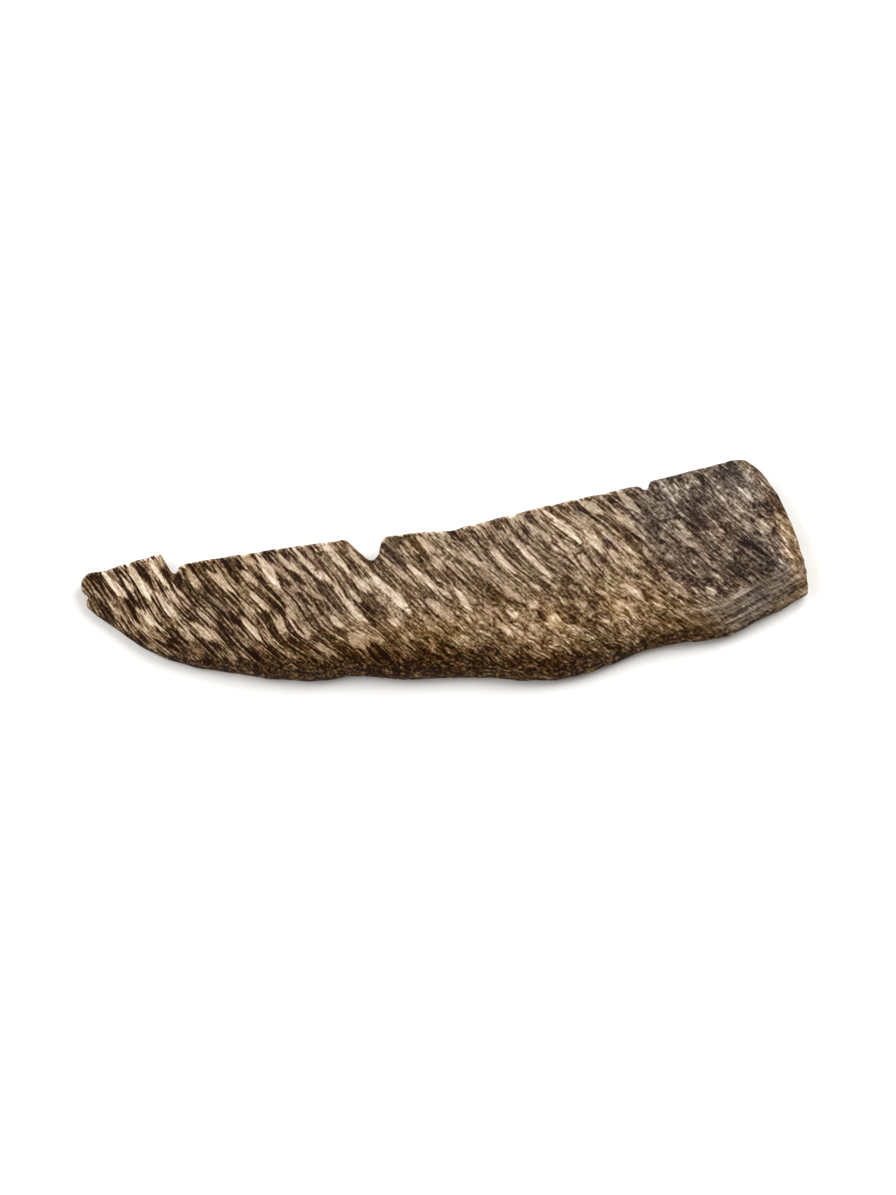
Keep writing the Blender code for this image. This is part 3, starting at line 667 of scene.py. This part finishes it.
def grain_tone(tree, kept, drawn, fraying):
    """How pale the wood is, from 0 where it is full of resin to 1: streaks with
    frayed edges, the weave and slivers between them, and the finest grain."""
    frayed = summed(tree, kept["streak"], (drawn["bundles"], fraying))
    pale = add_node(
        tree, "ShaderNodeMapRange",
        {"Value": frayed, 1: STREAKS_SET_IN[0], 2: STREAKS_SET_IN[1]},
        interpolation_type="SMOOTHSTEP",
    )
    woven = summed(tree, drawn["strands"], (drawn["bundles"], WEAVE_BUNDLES))
    weave = add_node(
        tree, "ShaderNodeMapRange",
        {"Value": woven, 1: WEAVE_SETS_IN[0], 2: WEAVE_SETS_IN[1], 3: -0.5, 4: 0.5},
        interpolation_type="SMOOTHSTEP",
    )
    weave = add_node(
        tree, "ShaderNodeMath", {0: weave, 1: summed(tree, 1.0, (pale, -WEAVE_HIDDEN))},
        operation="MULTIPLY",
    )
    slivers = add_node(
        tree, "ShaderNodeMapRange",
        {"Value": drawn["slivers"], 1: SLIVERS_SET_IN[0], 2: SLIVERS_SET_IN[1]},
        interpolation_type="SMOOTHSTEP",
    )
    fine = summed(tree, 0.0, *weighed(drawn, FINE_GRAIN), (drawn["pores"], kept["specks"]))
    return summed(
        tree, kept["base"],
        (pale, kept["gain"]),
        (weave, kept["filling"]),
        (slivers, kept["flecks"]),
        (drawn["mottles"], kept["mottling"]),
        (fine, summed(tree, 1.0, (pale, -GRAIN_HIDDEN))),
    )


def edge_tone(tree, kept, drawn, tone):
    """The tone changed at the slab's edges: lines along the bevel, which cuts
    through the layers, the rind at the foot of the front edge, nearly black,
    rough and blotchy, partly dark resin skin and partly painted shade, and pale
    scuffs on the back edge, partly wear and partly a painted highlight."""
    layers = add_node(
        tree, "ShaderNodeMath", {0: drawn["layers"], 1: kept["bevel"]}, operation="MULTIPLY",
    )
    tone = summed(tree, tone, (layers, LAYER_STRENGTH))
    dark = add_node(
        tree, "ShaderNodeMapRange",
        {
            "Value": summed(tree, kept["rind_and_shade"], *weighed(drawn, RIND_AND_SHADE_EDGE)),
            1: RIND_AND_SHADE_SETS_IN[0], 2: RIND_AND_SHADE_SETS_IN[1],
        },
        interpolation_type="SMOOTHSTEP",
    )
    rind_and_shade = summed(tree, RIND_AND_SHADE_TONE, *weighed(drawn, RIND_AND_SHADE_GRAIN))
    tone = add_node(tree, "ShaderNodeMix", {"Factor": dark, "A": tone, "B": rind_and_shade})
    # Pale scuffs on the back edge, partly wear and partly a painted highlight.
    scuffs_and_highlight = add_node(
        tree, "ShaderNodeMapRange",
        {"Value": drawn["pores"], 1: SCUFFS_AND_HIGHLIGHT_SET_IN[0], 2: SCUFFS_AND_HIGHLIGHT_SET_IN[1]},
        interpolation_type="SMOOTHSTEP",
    )
    scuffs_and_highlight = add_node(
        tree, "ShaderNodeMath", {0: scuffs_and_highlight, 1: kept["worn"]}, operation="MULTIPLY",
    )
    return summed(tree, tone, (scuffs_and_highlight, SCUFF_AND_HIGHLIGHT_STRENGTH))


def wood_colour(tree, settings, tone, warmth, hues):
    """The colour of wood of a tone, greyer or more golden with its warmth."""
    colour = add_node(tree, "ShaderNodeValToRGB", {"Fac": tone})
    elements = colour.node.color_ramp.elements
    stops = (
        (0.04, settings.resin),
        (0.15, settings.brown),
        (0.29, settings.umber),
        (0.44, settings.tan),
        (0.63, settings.straw),
        (0.83, settings.cream),
        (0.95, settings.bleached),
    )
    while len(elements) < len(stops):
        elements.new(1.0)
    for element, (place, rgb) in zip(elements, stops):
        element.position = place
        element.color = (*rgb, 1.0)
    return add_node(tree, "ShaderNodeHueSaturation", {
        "Hue": summed(tree, 0.5, (hues, HUE_SWING)),
        "Saturation": summed(tree, 1.0, (warmth, WARMTH_SWING)),
        "Color": colour,
    })


def agarwood_raw(settings):
    """Agarwood, split and scraped by hand and left raw: dry pale wood that
    scatters light, between streaks of resin that are dark and hardly shine."""
    material, tree, shader = new_material("agarwood_split_raw")
    kept = {
        name: add_node(tree, "ShaderNodeAttribute", output="Fac", attribute_name=name)
        for name in (*RECIPES, "streak", "rind_and_shade", "bevel", "worn")
    }
    drawn = {}
    for axes, noises in (("grain", GRAIN_NOISE), ("edge", EDGE_NOISE)):
        place = add_node(tree, "ShaderNodeAttribute", output="Vector", attribute_name=axes)
        for name, sizes in noises.items():
            drawn[name] = drawn_noise(tree, place, *sizes)

    tone = grain_tone(tree, kept, drawn, settings.fraying)
    tone = edge_tone(tree, kept, drawn, tone)
    colour = wood_colour(tree, settings, tone, kept["warmth"], drawn["hues"])
    tree.links.new(colour, shader.inputs["Base Color"])

    roughness = add_node(
        tree, "ShaderNodeMapRange",
        {
            "Value": tone, 1: ROUGHNESS_TONES[0], 2: ROUGHNESS_TONES[1],
            3: ROUGHNESS[0], 4: ROUGHNESS[1],
        },
        interpolation_type="SMOOTHSTEP",
    )
    tree.links.new(roughness, shader.inputs["Roughness"])
    shader.inputs["Specular IOR Level"].default_value = 0.05

    bump = add_node(tree, "ShaderNodeBump", {
        "Height": summed(tree, drawn["pores"], *weighed(drawn, BUMP_GRAIN)),
        "Strength": BUMP_STRENGTH,
        "Distance": settings.bump_height,
    })
    tree.links.new(bump, shader.inputs["Normal"])
    return material


def table_paint():
    """A table painted matt white: it shows soft shadows and no gloss."""
    material, _, shader = new_material("matt_white_table")
    shader.inputs["Base Color"].default_value = hex_to_linear("#f4f3f1")
    shader.inputs["Roughness"].default_value = 0.9
    shader.inputs["Specular IOR Level"].default_value = 0.1
    return material


# The slab

class SlabSettings(bpy.types.PropertyGroup):
    mesh_step: FloatProperty(
        name="Mesh step", description="Spacing of the fine mesh's points",
        default=0.26 * MM, min=0.15 * MM, subtype="DISTANCE", unit="LENGTH",
    )
    fibre_relief: FloatProperty(
        name="Fibre relief", description="Height of the bundles of fibres",
        default=0.13 * MM, min=0.0, subtype="DISTANCE", unit="LENGTH",
    )
    streak_relief: FloatProperty(
        name="Streak relief", description="How deep the soft pale wood is worn",
        default=0.10 * MM, min=0.0, subtype="DISTANCE", unit="LENGTH",
    )
    bump_height: FloatProperty(
        name="Bump", description="Height of the finest fibres and pores",
        default=0.12 * MM, min=0.0, subtype="DISTANCE", unit="LENGTH",
    )
    fraying: FloatProperty(
        name="Fraying", description="How much fibres fray the edges of the streaks",
        default=2.2, min=0.0, subtype="FACTOR",
    )
    resin: FloatVectorProperty(
        name="Resin", description="Wood soaked with resin",
        default=hex_to_linear("#1b0c03")[:3], subtype="COLOR", size=3,
    )
    brown: FloatVectorProperty(
        name="Brown wood", description="Wood with much resin",
        default=hex_to_linear("#322010")[:3], subtype="COLOR", size=3,
    )
    umber: FloatVectorProperty(
        name="Umber wood", description="Wood with some resin",
        default=hex_to_linear("#523d29")[:3], subtype="COLOR", size=3,
    )
    tan: FloatVectorProperty(
        name="Tan wood", description="Wood with a trace of resin",
        default=hex_to_linear("#756049")[:3], subtype="COLOR", size=3,
    )
    straw: FloatVectorProperty(
        name="Straw wood", description="Dry wood between the streaks",
        default=hex_to_linear("#a28c74")[:3], subtype="COLOR", size=3,
    )
    cream: FloatVectorProperty(
        name="Cream wood", description="Dry pale wood in the streaks",
        default=hex_to_linear("#cdbaa3")[:3], subtype="COLOR", size=3,
    )
    bleached: FloatVectorProperty(
        name="Bleached wood", description="The palest wood, with no resin",
        default=hex_to_linear("#e3d6c8")[:3], subtype="COLOR", size=3,
    )


def wood_kinds(place, inward, above):
    """How much of each kind of wood there is at each point: 0 to 1 or, for the
    two noises, about 0."""
    x, run, _ = place
    end = smoothstep(*END_ALONG, x)
    tip = smoothstep(*TIP_ALONG, x)
    middle = 1.0 - tip - end
    grey = smoothstep(*GREY_ALONG, x + GREY_LEAN * np.minimum(run, 0.0))
    return {
        "all": np.ones(len(x)),
        "tip": tip,
        "middle": middle,
        "end": end,
        "under": 1.0 - above,
        "belly": smoothstep(*BELLY_ACROSS, run) * smoothstep(*BELLY_ALONG, x) * (1.0 - end),
        "grey": grey,
        "grey_back": grey * smoothstep(*GREY_BACK, run),
        "golden": (1.0 - tip) * (1.0 - grey) * smoothstep(*GOLDEN_ACROSS, run),
        "bevel": smoothstep(*BEVEL_ALONG, x) * smoothstep(*BEVEL_IN, inward["front"]),
        # The rim round the broad end: golden wood, lightened as painted light from the
        # right.
        "golden_lit_rim": smoothstep(*RIM_ALONG, x) * smoothstep(*RIM_IN, inward["end"]),
        # The foot of the front edge: its darker wood is partly painted shade.
        "foot": (
            middle * smoothstep(*FOOT_UP, inward["foot"])
            * (1.0 - FOOT_FADE * smoothstep(*FOOT_ALONG, x))
        ),
        "drift": noise_at(place, *DRIFT),
        "blotch": noise_at(place, *BLOTCHES) * (1.0 - TIP_BLOTCH_LOSS * tip),
    }


def mixed(kinds, value):
    """One value that the material reads, mixed by its recipe."""
    adds, takes = RECIPES[value]
    total = sum(weight * kinds[kind] for kind, weight in adds.items())
    for kind, share in takes.items():
        total = total * (1.0 - share * kinds[kind])
    return total


def slab_fields(points, normals):
    """What the wood is like at each point, from its place and its facing. Run is
    the place across the slab, carried down its edges."""
    x, y, z = (points / MM).T
    above = smoothstep(*FACING_OUT, normals[:, 2])
    on_top = smoothstep(*FACING_TOP, normals[:, 2])
    run = y - EDGE_SLANT * (edge_line(x, z, 1.0) - z)
    place = (x, run, z)
    inward = {
        "front": y - edge_line(x, y, -1.0),
        "foot": run - edge_line(x, run, -1.0),
        "back": edge_line(x, y, 1.0) - y,
        "end": edge_line(y, x, 1.0) - x,
    }
    kinds = wood_kinds(place, inward, above)

    curling = sum(reach * kinds[kind] for kind, reach in CURL_WANDER.items())
    wander = BEND_WANDER * noise_at(place, *WANDER)
    wander += curling * noise_at(place, *CURLS)
    across, along = across_grain(x, run) + wander, along_grain(x, run)

    tone, warmth = patch_fields(across, along)
    kinds["patch"] = tone * (UNDER_PATCH + (1.0 - UNDER_PATCH) * above)
    kinds["warm_patch"] = warmth
    kinds["resined"] = (
        smoothstep(*RESINED_TONE, kinds["patch"]) * smoothstep(*RESINED_WARMTH, warmth)
    )
    laid, pale = laid_streaks(x, run)
    kinds["unpaled"] = 1.0 - pale
    fields = {value: mixed(kinds, value) for value in RECIPES}
    fields["warmth"] = np.clip(fields["warmth"], *WARMTH_LIMITS)

    reach = np.interp(x, *np.array(RIND_AND_SHADE_REACH).T)
    # The rind at the foot of the front edge: dark resin skin, partly painted shade on the
    # rolled wall.
    rind_and_shade = smoothstep(RIND_AND_SHADE_SHARES[0] * reach, RIND_AND_SHADE_SHARES[1] * reach, inward["foot"])
    return fields | {
        "grain": np.stack((along, across, GRAIN_DEPTH * z), axis=1),
        "edge": np.stack((x, inward["front"], z), axis=1),
        "streak": laid * above - (1.0 - above),
        "rind_and_shade": rind_and_shade * (UNDER_RIND_AND_SHADE + (1.0 - UNDER_RIND_AND_SHADE) * above),
        "bevel": kinds["bevel"],
        # The back edge: wear, with a painted highlight where light catches it.
        "worn": smoothstep(*WORN_AND_LIT_IN, inward["back"]) * on_top * (1.0 - kinds["end"]),
    }


def carve_grain(points, normals, fields, settings):
    """Move each point along its normal by the wood's fine relief, which is
    calm on the walls, and keep the resting patches flat."""
    along, across, depth = fields["grain"].T
    bundles = noise_at((across, along, depth), *RELIEF_BUNDLES)
    fibres = noise_at((across, along, depth), *RELIEF_FIBRES)
    calm = 1.0 - WALL_CALM * smoothstep(*WALL_FACING, np.abs(normals[:, 1]))
    relief = settings.fibre_relief * (bundles + FIBRE_SHARE * fibres)
    relief -= settings.streak_relief * smoothstep(*WORN_STREAK, fields["streak"])
    moved = points + normals * (relief * calm)[:, None]
    resting = points[:, 2] < REST_HEIGHT
    moved[:, 2] = np.where(resting, 0.0, np.maximum(moved[:, 2], 0.0))
    return moved


def build_slab(settings):
    """The slab on a fine mesh, carved, with its fields and its material."""
    mesh = welded_copy(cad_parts[NODE], "slab_wood")
    mesh = with_modifier(mesh, "REMESH", mode="VOXEL", voxel_size=settings.mesh_step)
    mesh = with_modifier(mesh, "SMOOTH", factor=0.5, iterations=3)
    points = read_vectors(mesh.vertices, "co")
    normals = read_vectors(mesh.vertices, "normal")
    fields = slab_fields(points, normals)
    points = carve_grain(points, normals, fields, settings)
    mesh.vertices.foreach_set("co", points.ravel())
    mesh.update()
    for name, values in fields.items():
        store(mesh, name, values)
    mesh.materials.clear()
    mesh.materials.append(agarwood_raw(settings))
    mesh.shade_smooth()
    slab = bpy.data.objects.new("slab_wood", mesh)
    bpy.context.scene.collection.objects.link(slab)
    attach(slab, "root")
    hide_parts(NODE)
    return slab


class AGARWOOD_OT_slab(bpy.types.Operator):
    """Make the slab of agarwood with its grain and streaks"""

    bl_idname = "agarwood.slab"
    bl_label = "Agarwood slab"

    def execute(self, context):
        build_slab(context.scene.agarwood_slab)
        return {"FINISHED"}


# The stage

# The table's top is this far below the slab, so that the two don't touch, and
# its round edge has this many corners.
TABLE_DROP = 0.02 * MM
TABLE_CORNERS = 96

# The room's light changes from the floor's to overhead between these heights,
# on a scale from 0 level with the slab to 1 straight up.
ROOM_HEIGHTS = (0.1, 0.8)

# The soft lights: name, share of the power, and place from the slab's centre.
SOFT_LIGHTS = (
    ("soft_light_right", 0.6, (0.45, 0.25, 0.50)),
    ("soft_light_left", 0.4, (-0.50, 0.10, 0.50)),
)


class StageSettings(bpy.types.PropertyGroup):
    table_radius: FloatProperty(
        name="Table radius", description="How far the plain table reaches",
        default=6.0, min=0.5, subtype="DISTANCE", unit="LENGTH",
    )
    camera_height: FloatProperty(
        name="Camera angle", description="Angle of the view above the table",
        default=math.radians(68.0), subtype="ANGLE", unit="ROTATION",
    )
    camera_turn: FloatProperty(
        name="Camera turn", description="Turn of the view round the slab",
        default=math.radians(-10.2), subtype="ANGLE", unit="ROTATION",
    )
    camera_distance: FloatProperty(
        name="Camera distance", description="From the lens to the slab",
        default=2.0, min=0.2, subtype="DISTANCE", unit="LENGTH",
    )
    slab_share: FloatProperty(
        name="Slab's share", description="How much of the picture's width the slab fills",
        default=0.8, min=0.1, max=1.0, subtype="FACTOR",
    )
    light_power: FloatProperty(
        name="Soft lights", description="Power of the soft lights together",
        default=9.0, min=0.0, unit="POWER",
    )
    light_size: FloatProperty(
        name="Size of the lights", description="Side of each square soft light",
        default=0.6, min=0.01, subtype="DISTANCE", unit="LENGTH",
    )
    sky_strength: FloatProperty(
        name="Room light", description="Strength of the room's light near the floor",
        default=0.9, min=0.0, subtype="FACTOR",
    )
    ceiling_strength: FloatProperty(
        name="Overhead light", description="Strength of the room's light from overhead",
        default=0.30, min=0.0, subtype="FACTOR",
    )


def build_table(settings):
    """A wide round table just under the slab."""
    mesh = bpy.data.meshes.new("table")
    work = bmesh.new()
    bmesh.ops.create_circle(
        work, cap_ends=True, segments=TABLE_CORNERS, radius=settings.table_radius,
    )
    work.to_mesh(mesh)
    work.free()
    mesh.materials.append(table_paint())
    table = bpy.data.objects.new("table", mesh)
    table.location.z = -TABLE_DROP
    bpy.context.scene.collection.objects.link(table)


def build_lights(settings, centre):
    """A pale room, bright near the floor and dimmer overhead, and large soft
    lights, off the line where the wood would mirror them."""
    world = bpy.data.worlds.new("pale_room")
    world.use_nodes = True
    tree = world.node_tree
    place = add_node(tree, "ShaderNodeTexCoord", output="Generated")
    height = add_node(tree, "ShaderNodeSeparateXYZ", {0: place}, output="Z")
    dimming = add_node(
        tree, "ShaderNodeMapRange",
        {
            "Value": height, 1: ROOM_HEIGHTS[0], 2: ROOM_HEIGHTS[1],
            3: settings.sky_strength, 4: settings.ceiling_strength,
        },
    )
    sky = tree.nodes["Background"]
    sky.inputs["Color"].default_value = hex_to_linear("#fdfcfa")
    tree.links.new(dimming, sky.inputs["Strength"])
    bpy.context.scene.world = world

    for name, share, offset in SOFT_LIGHTS:
        lamp = bpy.data.lights.new(name, "AREA")
        lamp.size = settings.light_size
        lamp.energy = share * settings.light_power
        light = bpy.data.objects.new(name, lamp)
        light.location = centre + Vector(offset)
        light.rotation_euler = (-Vector(offset)).to_track_quat("-Z", "Y").to_euler()
        bpy.context.scene.collection.objects.link(light)


def build_camera(settings, centre, length):
    """The camera, its lens fitted to the slab, which it has in the middle."""
    lens = bpy.data.cameras.new("camera")
    lens.sensor_fit = "HORIZONTAL"
    lens.angle = 2 * math.atan(length / settings.slab_share / 2 / settings.camera_distance)
    lens.clip_end = 50.0
    camera = bpy.data.objects.new("camera", lens)
    turn, height = settings.camera_turn, settings.camera_height
    away = Vector((
        math.sin(turn) * math.cos(height),
        -math.cos(turn) * math.cos(height),
        math.sin(height),
    ))
    camera.location = centre + settings.camera_distance * away
    camera.rotation_euler = (-away).to_track_quat("-Z", "Y").to_euler()
    bpy.context.scene.collection.objects.link(camera)
    bpy.context.scene.camera = camera


class AGARWOOD_OT_stage(bpy.types.Operator):
    """Make the pale table, the soft light and the camera"""

    bl_idname = "agarwood.stage"
    bl_label = "Table, light and camera"

    def execute(self, context):
        settings = context.scene.agarwood_stage
        low, high = (Vector(corner) for corner in CAD_BOX)
        centre = (low + high) / 2
        build_table(settings)
        build_lights(settings, centre)
        build_camera(settings, centre, high.x - low.x)
        context.scene.view_settings.view_transform = "Standard"
        return {"FINISHED"}


class AGARWOOD_PT_panel(bpy.types.Panel):
    """The slab and its stage"""

    bl_idname = "AGARWOOD_PT_panel"
    bl_label = "Agarwood slab"
    bl_space_type = "VIEW_3D"
    bl_region_type = "UI"
    bl_category = "Agarwood"

    def draw(self, context):
        groups = (
            ("agarwood.slab", context.scene.agarwood_slab),
            ("agarwood.stage", context.scene.agarwood_stage),
        )
        for operator, settings in groups:
            box = self.layout.box()
            box.operator(operator)
            for name in settings.__annotations__:
                box.prop(settings, name)


CLASSES = (
    SlabSettings,
    StageSettings,
    AGARWOOD_OT_slab,
    AGARWOOD_OT_stage,
    AGARWOOD_PT_panel,
)


def register():
    for cls in CLASSES:
        bpy.utils.register_class(cls)
    bpy.types.Scene.agarwood_slab = PointerProperty(type=SlabSettings)
    bpy.types.Scene.agarwood_stage = PointerProperty(type=StageSettings)


def unregister():
    del bpy.types.Scene.agarwood_stage
    del bpy.types.Scene.agarwood_slab
    for cls in reversed(CLASSES):
        bpy.utils.unregister_class(cls)


def main():
    register()
    bpy.ops.agarwood.slab()
    bpy.ops.agarwood.stage()


if __name__ == "__main__":
    main()
